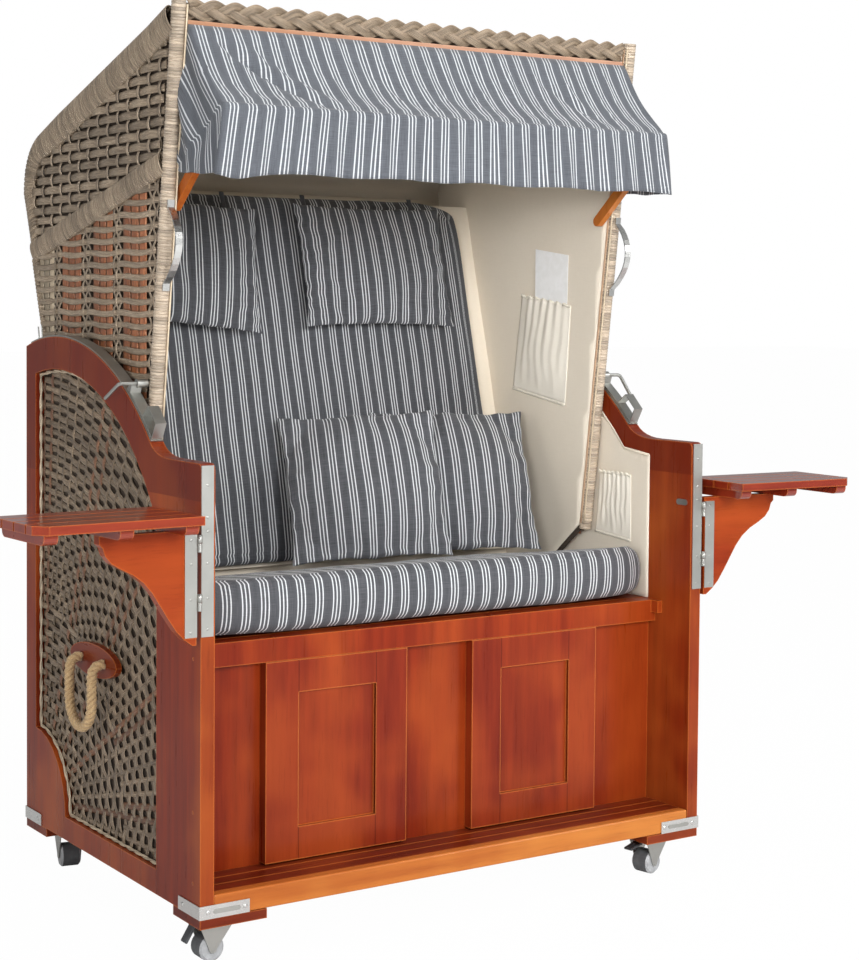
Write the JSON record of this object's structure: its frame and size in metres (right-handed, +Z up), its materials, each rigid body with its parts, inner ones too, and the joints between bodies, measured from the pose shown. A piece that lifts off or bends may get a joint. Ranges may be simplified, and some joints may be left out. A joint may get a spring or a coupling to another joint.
{
  "type": "hooded beach chair",
  "caption": "Wicker and wood hooded beach chair for two, with reclining hood, awning, folding side tables, pull-out footrests and casters.",
  "frame": {"origin": "on the ground under the middle of the whole chair, halfway between its side tables and between its front and rear", "axes": "+X to the sitters' left, +Y to the closed back, +Z up; the open front faces -Y"},
  "size_m": [1.8968, 1.0533, 1.777],
  "materials": {
    "stained_wood": "dark red-brown stain, satin",
    "front_wood": "orange-brown stain, satin",
    "wicker": "woven flat strands, matt",
    "steel": "brushed",
    "grey_plastic": "matt",
    "rope": "twisted natural fibre",
    "lining": "plain weave",
    "striped_cloth": "woven stripes, matt"
  },
  "bodies": {
    "base": {"side_panel_left": "stained_wood", "side_wicker_left": "wicker", "side_lining_left": "lining", "hinge_leaf_left": "steel", "recline_rail_left": "steel", "handle_plate_left": "stained_wood", "rope_handle_left": "rope", "pillow_left": "striped_cloth", "side_panel_right": "stained_wood", "side_wicker_right": "wicker", "side_lining_right": "lining", "hinge_leaf_right": "steel", "recline_rail_right": "steel", "handle_plate_right": "stained_wood", "rope_handle_right": "rope", "pillow_right": "striped_cloth", "base_floor": "stained_wood", "plinth_rail": "front_wood", "rear_panel": "wicker", "seat_front": "stained_wood", "seat_board": "stained_wood", "seat_cushion": "striped_cloth", "corner_bracket_front_left": "steel", "corner_bracket_front_right": "steel", "corner_bracket_rear_left": "steel", "corner_bracket_rear_right": "steel"},
    "hood": {"hood_roof": "wicker", "hood_rear": "wicker", "hood_front_rail": "front_wood", "backrest_board": "stained_wood", "backrest_cushion": "striped_cloth", "hood_side_left": "wicker", "neck_pillow_left": "striped_cloth", "grab_handle_left": "steel", "latch_plate_left": "steel", "hood_side_right": "wicker", "neck_pillow_right": "striped_cloth", "grab_handle_right": "steel", "latch_plate_right": "steel"},
    "awning": {"awning_bow": "stained_wood", "awning_cloth": "striped_cloth"},
    "lever_left": {"latch_lever_left": "steel"},
    "lever_right": {"latch_lever_right": "steel"},
    "table_bracket_left": {"table_bracket_left": "stained_wood"},
    "table_left": {"table_top_left": "stained_wood"},
    "table_bracket_right": {"table_bracket_right": "stained_wood"},
    "table_right": {"table_top_right": "stained_wood"},
    "footrest_left": {"footrest_left": "front_wood"},
    "footrest_right": {"footrest_right": "front_wood"},
    "caster_front_left": {"caster_fork_front_left": "steel"},
    "wheel_front_left": {"caster_wheel_front_left": "grey_plastic"},
    "pedal_front_left": {"caster_pedal_front_left": "grey_plastic"},
    "caster_front_right": {"caster_fork_front_right": "steel"},
    "wheel_front_right": {"caster_wheel_front_right": "grey_plastic"},
    "pedal_front_right": {"caster_pedal_front_right": "grey_plastic"},
    "caster_rear_left": {"caster_fork_rear_left": "steel"},
    "wheel_rear_left": {"caster_wheel_rear_left": "grey_plastic"},
    "caster_rear_right": {"caster_fork_rear_right": "steel"},
    "wheel_rear_right": {"caster_wheel_rear_right": "grey_plastic"}
  },
  "joints": [
    {"name": "hood_recline", "type": "hinge", "parent": "base", "child": "hood", "pos_m": [0, 0.2345, 0.516], "axis": [-1, 0, 0], "range_deg": [0, 40]},
    {"name": "awning_swing", "type": "hinge", "parent": "hood", "child": "awning", "pos_m": [0, -0.1625, 1.394], "axis": [-1, 0, 0], "range_deg": [0, 50], "deforming": ["awning_cloth"]},
    {"name": "latch_turn_left", "type": "hinge", "parent": "hood", "child": "lever_left", "pos_m": [-0.59, -0.12099, 1.05312], "axis": [1, 0, 0], "range_deg": [-105, 0]},
    {"name": "latch_turn_right", "type": "hinge", "parent": "hood", "child": "lever_right", "pos_m": [0.59, -0.12099, 1.05312], "axis": [1, 0, 0], "range_deg": [0, 105]},
    {"name": "table_swing_left", "type": "hinge", "parent": "base", "child": "table_bracket_left", "pos_m": [-0.5944, -0.4301, 0.596], "axis": [0, 0, 1], "range_deg": [-2.5, 177.5]},
    {"name": "table_fold_left", "type": "hinge", "parent": "table_bracket_left", "child": "table_left", "pos_m": [-0.63105, -0.40678, 0.8037], "axis": [-0.999, -0.0436, 0], "range_deg": [0, 90]},
    {"name": "table_swing_right", "type": "hinge", "parent": "base", "child": "table_bracket_right", "pos_m": [0.5944, -0.4301, 0.596], "axis": [0, 0, -1], "range_deg": [-2.5, 177.5]},
    {"name": "table_fold_right", "type": "hinge", "parent": "table_bracket_right", "child": "table_right", "pos_m": [0.63105, -0.40678, 0.8037], "axis": [-0.999, 0.0436, 0], "range_deg": [0, 90]},
    {"name": "footrest_slide_left", "type": "slide", "parent": "base", "child": "footrest_left", "axis": [0, -1, 0], "range_m": [0, 0.34]},
    {"name": "footrest_slide_right", "type": "slide", "parent": "base", "child": "footrest_right", "axis": [0, -1, 0], "range_m": [0, 0.34]},
    {"name": "swivel_front_left", "type": "hinge", "parent": "base", "child": "caster_front_left", "pos_m": [-0.521, -0.3635, 0.078], "axis": [0, 0, 1], "continuous": true},
    {"name": "wheel_spin_front_left", "type": "hinge", "parent": "caster_front_left", "child": "wheel_front_left", "pos_m": [-0.544, -0.3635, 0.025], "axis": [0, 1, 0], "continuous": true},
    {"name": "pedal_press_front_left", "type": "hinge", "parent": "caster_front_left", "child": "pedal_front_left", "pos_m": [-0.5739, -0.3635, 0.068], "axis": [0, -1, 0], "range_deg": [-30, 0]},
    {"name": "swivel_front_right", "type": "hinge", "parent": "base", "child": "caster_front_right", "pos_m": [0.521, -0.3635, 0.078], "axis": [0, 0, 1], "continuous": true},
    {"name": "wheel_spin_front_right", "type": "hinge", "parent": "caster_front_right", "child": "wheel_front_right", "pos_m": [0.4985, -0.36828, 0.025], "axis": [-0.2079, 0.9781, 0], "continuous": true},
    {"name": "pedal_press_front_right", "type": "hinge", "parent": "caster_front_right", "child": "pedal_front_right", "pos_m": [0.46926, -0.3745, 0.068], "axis": [0.2079, -0.9781, 0], "range_deg": [0, 25]},
    {"name": "swivel_rear_left", "type": "hinge", "parent": "base", "child": "caster_rear_left", "pos_m": [-0.521, 0.3475, 0.078], "axis": [0, 0, 1], "continuous": true},
    {"name": "wheel_spin_rear_left", "type": "hinge", "parent": "caster_rear_left", "child": "wheel_rear_left", "pos_m": [-0.52539, 0.32492, 0.025], "axis": [-0.9816, 0.1908, 0], "continuous": true},
    {"name": "swivel_rear_right", "type": "hinge", "parent": "base", "child": "caster_rear_right", "pos_m": [0.521, 0.3475, 0.078], "axis": [0, 0, 1], "continuous": true},
    {"name": "wheel_spin_rear_right", "type": "hinge", "parent": "caster_rear_right", "child": "wheel_rear_right", "pos_m": [0.51661, 0.32492, 0.025], "axis": [-0.9816, 0.1908, 0], "continuous": true}
  ]
}
